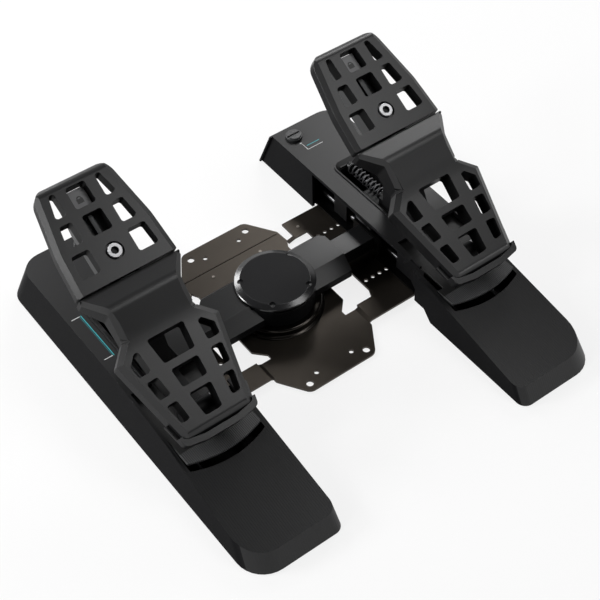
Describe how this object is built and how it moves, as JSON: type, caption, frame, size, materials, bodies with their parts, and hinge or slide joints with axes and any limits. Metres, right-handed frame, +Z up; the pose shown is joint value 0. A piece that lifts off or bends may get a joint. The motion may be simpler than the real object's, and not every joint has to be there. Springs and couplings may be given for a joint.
{
  "type": "flight simulator rudder pedals",
  "caption": "Flight simulator rudder pedals: two tilting toe-brake pedals that slide in long side covers, geared against each other through a round hub on a floor plate.",
  "frame": {"origin": "on the floor, under the middle of the hub and of the floor plate's bolt pattern", "axes": "+X from the left pedal to the right one, +Y away from the pilot, +Z up"},
  "size_m": [0.404, 0.4188, 0.1887],
  "materials": {
    "arm_metal": "dark cast grey",
    "board": "green board",
    "bronze": "sintered",
    "chassis_steel": "dark grey",
    "cover_shell": "matte black with fine grooves",
    "drum": "satin bronze-grey drum",
    "gear_brass": "machined",
    "hub_lid": "satin dark grey with a glossier bevel",
    "hub_shell": "fine-grained matte black",
    "knob_grip": "satin dark grey",
    "lock_grey": "satin mid grey",
    "pad_rubber": "matte",
    "pedal_face": "fine-lined matte charcoal",
    "plate_black": "matte black",
    "rod_steel": "ground",
    "sheet": "satin bronze-grey sheet",
    "slider": "matte dark grey",
    "socket": "plated",
    "spring_steel": "drawn wire",
    "steel": "brushed",
    "tray": "matte black",
    "zinc": "milled"
  },
  "bodies": {
    "floor_frame": {"base_plate": "sheet", "hub_pedestal": "drum", "hub_housing": "hub_shell", "hub_cap": "hub_lid", "gear_frame": "zinc", "sensor_board": "board", "usb_socket": "socket", "plate_rivets": "drum"},
    "upper_idler": {"idler_gear_upper": "gear_brass"},
    "lower_idler": {"idler_gear_lower": "gear_brass"},
    "right_side": {"right_side_cover": "cover_shell", "right_bottom_tray": "tray", "right_rubber_feet": "pad_rubber", "right_chassis": "chassis_steel", "right_guide_rods": "rod_steel", "right_arm_sleeve": "hub_shell", "right_return_spring": "spring_steel"},
    "right_shaft": {"right_drive_shaft": "steel"},
    "right_pinion_wheel": {"right_pinion": "steel"},
    "right_knob": {"right_tension_knob": "knob_grip"},
    "right_slider": {"right_carriage": "slider", "right_guide_bushes": "bronze", "right_rack": "steel", "right_slide_cover": "plate_black", "right_pedal_post": "slider", "right_brake_spring": "spring_steel"},
    "right_pedal": {"right_pedal_body": "pedal_face", "right_tilt_axle": "rod_steel", "right_toe_arm": "arm_metal", "right_toe_lock": "lock_grey", "right_toe_plate": "pedal_face", "right_toe_screw": "rod_steel", "right_heel_lip": "slider"},
    "left_side": {"left_side_cover": "cover_shell", "left_bottom_tray": "tray", "left_rubber_feet": "pad_rubber", "left_chassis": "chassis_steel", "left_guide_rods": "rod_steel", "left_arm_sleeve": "hub_shell", "left_return_spring": "spring_steel"},
    "left_shaft": {"left_drive_shaft": "steel"},
    "left_pinion_wheel": {"left_pinion": "steel"},
    "left_knob": {"left_tension_knob": "knob_grip"},
    "left_slider": {"left_carriage": "slider", "left_guide_bushes": "bronze", "left_rack": "steel", "left_slide_cover": "plate_black", "left_pedal_post": "slider", "left_brake_spring": "spring_steel"},
    "left_pedal": {"left_pedal_body": "pedal_face", "left_tilt_axle": "rod_steel", "left_toe_arm": "arm_metal", "left_toe_lock": "lock_grey", "left_toe_plate": "pedal_face", "left_toe_screw": "rod_steel", "left_heel_lip": "slider"}
  },
  "joints": [
    {"name": "right_width_slide", "type": "slide", "parent": "floor_frame", "child": "right_side", "axis": [-1, 0, 0], "range_m": [0, 0.0255]},
    {"name": "left_width_slide", "type": "slide", "parent": "floor_frame", "child": "left_side", "axis": [1, 0, 0], "range_m": [0, 0.0255]},
    {"name": "right_pedal_slide", "type": "slide", "parent": "right_side", "child": "right_slider", "axis": [0, 1, 0], "range_m": [-0.03, 0.03], "stiffness_N_per_m": 600, "deforming": ["right_return_spring"]},
    {"name": "left_pedal_slide", "type": "slide", "parent": "left_side", "child": "left_slider", "axis": [0, 1, 0], "range_m": [-0.03, 0.03], "deforming": ["left_return_spring"]},
    {"name": "right_pinion_turn", "type": "hinge", "parent": "right_side", "child": "right_pinion_wheel", "pos_m": [0.145, 0.002, 0.0225], "axis": [1, 0, 0], "range_deg": [-176, 176]},
    {"name": "right_shaft_turn", "type": "hinge", "parent": "floor_frame", "child": "right_shaft", "pos_m": [0.08, 0.002, 0.0225], "axis": [1, 0, 0], "range_deg": [-176, 176]},
    {"name": "left_pinion_turn", "type": "hinge", "parent": "left_side", "child": "left_pinion_wheel", "pos_m": [-0.145, 0.002, 0.0225], "axis": [1, 0, 0], "range_deg": [-176, 176]},
    {"name": "left_shaft_turn", "type": "hinge", "parent": "floor_frame", "child": "left_shaft", "pos_m": [-0.08, 0.002, 0.0225], "axis": [1, 0, 0], "range_deg": [-176, 176]},
    {"name": "upper_idler_turn", "type": "hinge", "parent": "floor_frame", "child": "upper_idler", "pos_m": [0, 0.01239, 0.0285], "axis": [1, 0, 0], "range_deg": [-176, 176]},
    {"name": "lower_idler_turn", "type": "hinge", "parent": "floor_frame", "child": "lower_idler", "pos_m": [0, 0.01239, 0.0165], "axis": [1, 0, 0], "range_deg": [-176, 176]},
    {"name": "right_toe_brake", "type": "hinge", "parent": "right_slider", "child": "right_pedal", "pos_m": [0.15, -0.09829, 0.05788], "axis": [-1, 0, 0], "range_deg": [0, 12], "stiffness_Nm_per_rad": 8, "springref_deg": -4.58},
    {"name": "left_toe_brake", "type": "hinge", "parent": "left_slider", "child": "left_pedal", "pos_m": [-0.15, -0.09829, 0.05788], "axis": [-1, 0, 0], "range_deg": [0, 12], "stiffness_Nm_per_rad": 8, "springref_deg": -4.58},
    {"name": "right_knob_turn", "type": "hinge", "parent": "right_side", "child": "right_knob", "pos_m": [0.1274, 0.14, 0.0501], "axis": [0, 0, 1], "range_deg": [0, 90]},
    {"name": "left_knob_turn", "type": "hinge", "parent": "left_side", "child": "left_knob", "pos_m": [-0.1274, 0.14, 0.0501], "axis": [0, 0, 1], "range_deg": [-90, 0]}
  ],
  "couplings": [
    {"joint": "left_pedal_slide", "follows": "right_pedal_slide", "ratio": -1},
    {"joint": "right_pinion_turn", "follows": "right_pedal_slide", "rad_per_m": -100},
    {"joint": "left_pinion_turn", "follows": "right_pedal_slide", "rad_per_m": 100},
    {"joint": "right_shaft_turn", "follows": "right_pedal_slide", "rad_per_m": -100},
    {"joint": "left_shaft_turn", "follows": "right_pedal_slide", "rad_per_m": 100},
    {"joint": "upper_idler_turn", "follows": "right_pedal_slide", "rad_per_m": -100},
    {"joint": "lower_idler_turn", "follows": "right_pedal_slide", "rad_per_m": 100}
  ]
}
